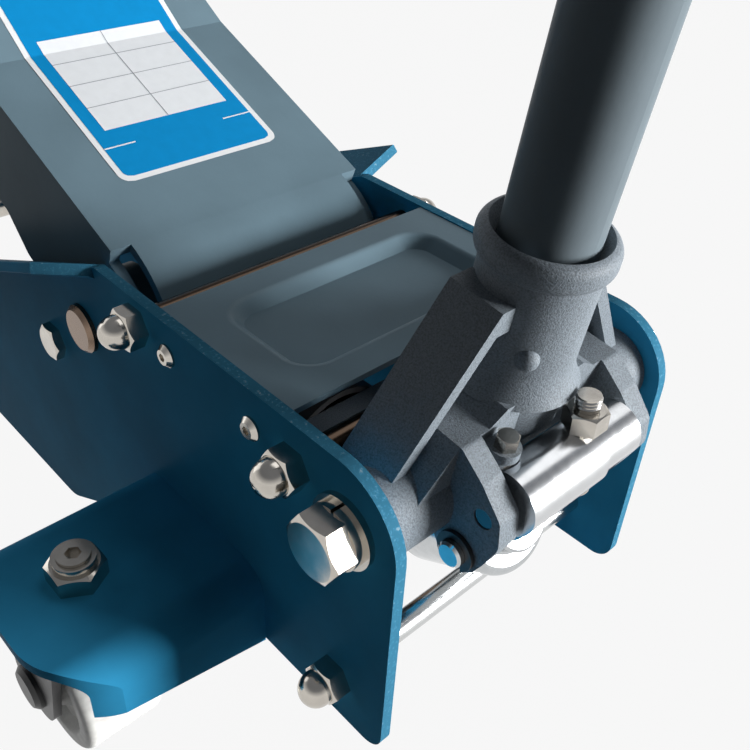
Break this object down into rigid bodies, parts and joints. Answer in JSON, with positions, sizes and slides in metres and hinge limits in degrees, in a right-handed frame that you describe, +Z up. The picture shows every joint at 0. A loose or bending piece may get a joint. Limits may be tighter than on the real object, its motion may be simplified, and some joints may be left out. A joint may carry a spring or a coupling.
{
  "type": "trolley jack",
  "caption": "Low hydraulic trolley jack with a pump handle in a cast socket, a hinged lift arm with a self-levelling saddle, rear swivel casters and front wheels",
  "frame": {"origin": "Floor point midway between the side plates, under their rear edge", "axes": "+X towards the handle end, -X towards the saddle, +Y to the jack's right seen from behind, +Z up from the floor"},
  "size_m": [0.7584, 0.348, 1.1951],
  "materials": {
    "frame_blue": "metallic blue paint",
    "arm_grey": "satin slate-grey paint",
    "cast_grey": "rough painted casting",
    "zinc": "bright zinc plate",
    "polished": "polished plate",
    "black_steel": "black paint",
    "nylon": "pale nylon",
    "rubber": "black rubber",
    "bronze": "plain bronze"
  },
  "bodies": {
    "frame": {"side_plate_left": "frame_blue", "side_plate_right": "frame_blue", "caster_arm_left": "frame_blue", "caster_arm_right": "frame_blue", "cover_plate": "arm_grey", "cover_screws": "zinc", "tie_rods": "zinc", "acorn_nuts": "zinc", "lift_shaft": "zinc", "keeper_screws": "zinc", "link_anchor": "arm_grey", "front_axle": "zinc", "axle_nuts": "zinc", "pump_block": "cast_grey", "reservoir_tube": "black_steel", "ram_cylinder": "zinc", "front_cap": "black_steel", "filler_plug": "rubber", "pump_barrel": "zinc", "unit_bolts": "zinc", "pivot_bolts": "zinc", "pivot_washers": "zinc", "pivot_spring_washers": "zinc", "caster_studs": "zinc", "caster_nuts": "zinc", "caster_races": "black_steel", "arm_spacers": "zinc"},
    "lift_arm": {"lift_arm": "arm_grey", "arm_bushes": "bronze", "ram_pin": "zinc", "saddle_pin": "zinc"},
    "saddle_bracket": {"saddle_bracket": "arm_grey", "level_pin": "zinc"},
    "saddle": {"saddle": "cast_grey"},
    "level_link": {"level_bar_left": "arm_grey", "level_bar_right": "arm_grey"},
    "ram": {"ram_rod": "polished", "ram_head": "zinc"},
    "socket": {"handle_socket": "cast_grey", "cross_barrel": "zinc", "adjusting_bolt": "zinc", "adjusting_nut": "zinc", "set_screw": "zinc", "roller_pin": "zinc", "roller_clips": "zinc"},
    "roller": {"pump_roller": "zinc"},
    "plunger": {"plunger_cup": "polished"},
    "handle": {"handle_tube": "arm_grey", "handle_grip": "rubber"},
    "release": {"release_stem": "zinc"},
    "fork_left": {"caster_fork_left": "black_steel", "caster_axle_left": "zinc"},
    "fork_right": {"caster_fork_right": "black_steel", "caster_axle_right": "zinc"},
    "caster_wheel_left": {"caster_wheel_left": "nylon"},
    "caster_wheel_right": {"caster_wheel_right": "nylon"},
    "front_wheel_left": {"front_wheel_left": "nylon"},
    "front_wheel_right": {"front_wheel_right": "nylon"}
  },
  "joints": [
    {"name": "lift", "type": "hinge", "parent": "frame", "child": "lift_arm", "pos_m": [-0.208, 0, 0.16], "axis": [0, 1, 0], "range_deg": [-42, 16]},
    {"name": "saddle_level", "type": "hinge", "parent": "lift_arm", "child": "saddle_bracket", "pos_m": [-0.54479, 0, 0.3758], "axis": [0, 1, 0], "range_deg": [-16, 42]},
    {"name": "saddle_turn", "type": "hinge", "parent": "saddle_bracket", "child": "saddle", "pos_m": [-0.54479, 0, 0.3978], "axis": [0, 0, 1], "continuous": true},
    {"name": "level_link", "type": "hinge", "parent": "frame", "child": "level_link", "pos_m": [-0.228, 0, 0.126], "axis": [0, 1, 0], "range_deg": [-42, 16]},
    {"name": "ram", "type": "slide", "parent": "frame", "child": "ram", "axis": [-1, 0, 0], "range_m": [-0.0463, 0.0177]},
    {"name": "pump", "type": "hinge", "parent": "frame", "child": "socket", "pos_m": [-0.025, 0, 0.172], "axis": [0, 1, 0], "range_deg": [0, 55], "stiffness_Nm_per_rad": 10.5, "springref_deg": -34.38},
    {"name": "roller_spin", "type": "hinge", "parent": "socket", "child": "roller", "pos_m": [-0.00288, -0.009, 0.1556], "axis": [0, 1, 0], "continuous": true},
    {"name": "plunger", "type": "slide", "parent": "frame", "child": "plunger", "axis": [-0.866, 0, -0.5], "range_m": [0, 0.0254]},
    {"name": "handle_twist", "type": "hinge", "parent": "socket", "child": "handle", "pos_m": [-0.02897, 0, 0.1725], "axis": [0.1253, 0, 0.9921], "range_deg": [0, 150]},
    {"name": "release_turn", "type": "hinge", "parent": "frame", "child": "release", "pos_m": [-0.099, 0.04, 0.116], "axis": [1, 0, 0], "range_deg": [0, 150]},
    {"name": "caster_swivel_left", "type": "hinge", "parent": "frame", "child": "fork_left", "pos_m": [-0.1235, -0.138, 0.092], "axis": [0, 0, 1], "continuous": true},
    {"name": "caster_roll_left", "type": "hinge", "parent": "fork_left", "child": "caster_wheel_left", "pos_m": [-0.1375, -0.138, 0.038], "axis": [0, 1, 0], "continuous": true},
    {"name": "front_roll_left", "type": "hinge", "parent": "frame", "child": "front_wheel_left", "pos_m": [-0.6, -0.104, 0.038], "axis": [0, 1, 0], "continuous": true},
    {"name": "caster_swivel_right", "type": "hinge", "parent": "frame", "child": "fork_right", "pos_m": [-0.1235, 0.138, 0.092], "axis": [0, 0, 1], "continuous": true},
    {"name": "caster_roll_right", "type": "hinge", "parent": "fork_right", "child": "caster_wheel_right", "pos_m": [-0.1375, 0.138, 0.038], "axis": [0, 1, 0], "continuous": true},
    {"name": "front_roll_right", "type": "hinge", "parent": "frame", "child": "front_wheel_right", "pos_m": [-0.6, 0.104, 0.038], "axis": [0, 1, 0], "continuous": true}
  ],
  "couplings": [
    {"joint": "saddle_level", "follows": "lift", "ratio": -1},
    {"joint": "level_link", "follows": "lift", "ratio": 1},
    {"joint": "ram", "follows": "lift", "m_per_rad": 0.063},
    {"joint": "plunger", "follows": "pump", "m_per_rad": 0.0264},
    {"joint": "release_turn", "follows": "handle_twist", "ratio": 1}
  ]
}
